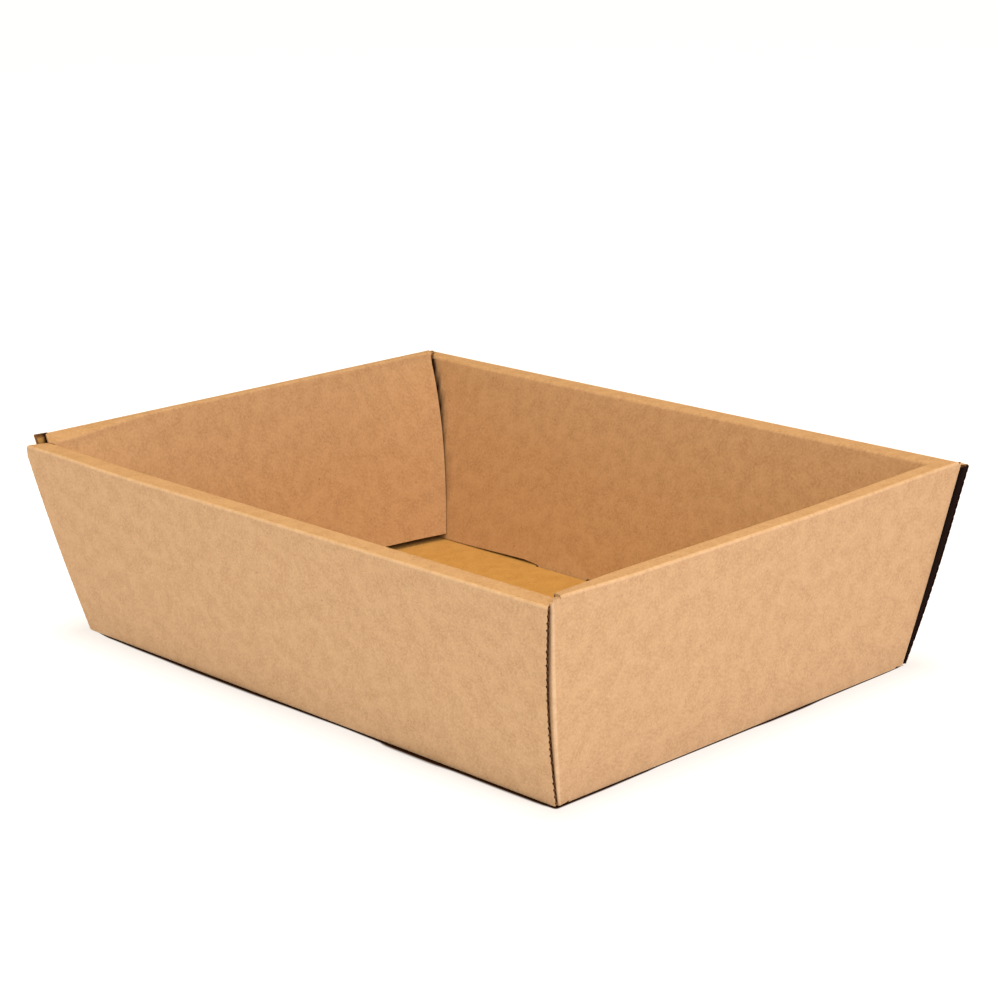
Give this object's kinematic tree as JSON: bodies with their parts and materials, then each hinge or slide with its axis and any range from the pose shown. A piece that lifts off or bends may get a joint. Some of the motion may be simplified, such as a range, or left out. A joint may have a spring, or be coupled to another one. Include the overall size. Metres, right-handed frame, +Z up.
{
  "type": "cardboard tray box",
  "caption": "Open rectangular tray folded from one die-cut sheet of kraft corrugated board, with outward leaning double walls and a narrow flat rim.",
  "frame": {"origin": "middle of the underside of the base, on the surface the tray stands on", "axes": "+X along the long side, +Y along the short side, +Z up out of the open top"},
  "size_m": [0.3406, 0.2572, 0.0918],
  "materials": {
    "kraft_board": "plain brown kraft corrugated board, matt, faint fibre mottling and faint flute lines"
  },
  "bodies": {
    "root": {"folded_tray": "kraft_board"}
  },
  "joints": []
}
